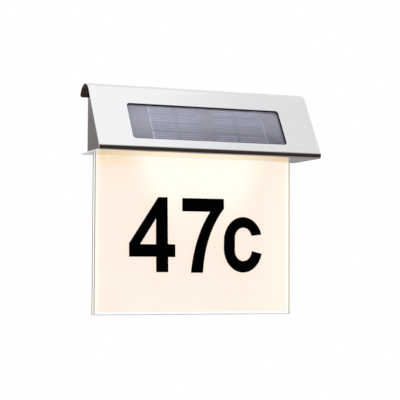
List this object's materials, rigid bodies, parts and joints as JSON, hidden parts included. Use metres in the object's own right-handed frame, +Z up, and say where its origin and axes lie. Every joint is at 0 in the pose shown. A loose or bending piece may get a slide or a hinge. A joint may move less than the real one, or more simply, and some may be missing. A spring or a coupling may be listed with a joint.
{
  "type": "solar house number light",
  "caption": "Wall-hung solar house number light: folded steel hood with a solar window over a clear plate that is lit from its top edge and carries plain black figures.",
  "frame": {"origin": "on the wall plane, midway between the two keyholes", "axes": "+X to the right along the hood as seen from in front, +Y into the wall, +Z up; the light faces -Y"},
  "size_m": [0.205, 0.058, 0.199],
  "materials": {
    "hood_steel": "fine horizontal brushing, satin",
    "housing_plastic": "fine moulded texture, warm grey",
    "cover_plastic": "fine moulded texture, warm grey",
    "door_plastic": "fine moulded texture, warm grey",
    "black_rubber": "soft, matte",
    "clear_cover": "clear, glossy",
    "solar_silicon": "blue-violet silicon with fine silver fingers",
    "board_white": "white solder mask",
    "board_green": "green solder mask",
    "acrylic": "clear, flame-polished edges, lit from the top edge",
    "white_film": "white diffuse film",
    "zinc_steel": "bright zinc plated",
    "silicone": "soft, translucent white",
    "led_phosphor": "white package with yellow phosphor",
    "cell_can": "bright plated can",
    "cell_sleeve": "shrink sleeve, plain green",
    "spring_steel": "nickel plated",
    "black_plastic": "moulded, semi-gloss",
    "chip_epoxy": "black epoxy",
    "copper_winding": "lacquered copper on a ferrite core",
    "capacitor_can": "sleeved can",
    "lead_red": "red insulation",
    "lead_black": "black insulation"
  },
  "bodies": {
    "light": {"hood": "hood_steel", "housing": "housing_plastic", "window_gasket": "black_rubber", "module_cover": "clear_cover", "solar_cells": "solar_silicon", "module_board": "board_white", "hood_washers": "zinc_steel", "hood_nuts": "zinc_steel", "light_plate": "acrylic", "reflector_film": "white_film", "plate_seal": "silicone", "plate_washers": "zinc_steel", "plate_screws": "zinc_steel", "led_board": "board_white", "leds": "led_phosphor", "led_board_screws": "zinc_steel", "back_cover": "cover_plastic", "cover_gasket": "black_rubber", "cover_screws": "zinc_steel", "battery_cell": "cell_can", "battery_sleeve": "cell_sleeve", "positive_contact": "spring_steel", "negative_contact": "spring_steel", "switch_body": "black_plastic", "switch_terminals": "spring_steel", "control_board": "board_green", "controller_chip": "chip_epoxy", "choke_coil": "copper_winding", "board_capacitors": "capacitor_can", "control_board_screws": "zinc_steel", "solar_lead_red": "lead_red", "solar_lead_black": "lead_black", "led_lead_red": "lead_red", "led_lead_black": "lead_black", "battery_lead_red": "lead_red", "battery_lead_black": "lead_black", "switch_lead": "lead_red"},
    "door": {"battery_door": "door_plastic", "door_gasket": "black_rubber", "door_screws": "zinc_steel"},
    "switch": {"switch_slider": "black_plastic"}
  },
  "joints": [
    {"name": "switch_slide", "type": "slide", "parent": "light", "child": "switch", "axis": [1, 0, 0], "range_m": [0, 0.003]},
    {"name": "door_lift", "type": "slide", "parent": "light", "child": "door", "axis": [0, 1, 0], "range_m": [0, 0.02]}
  ]
}
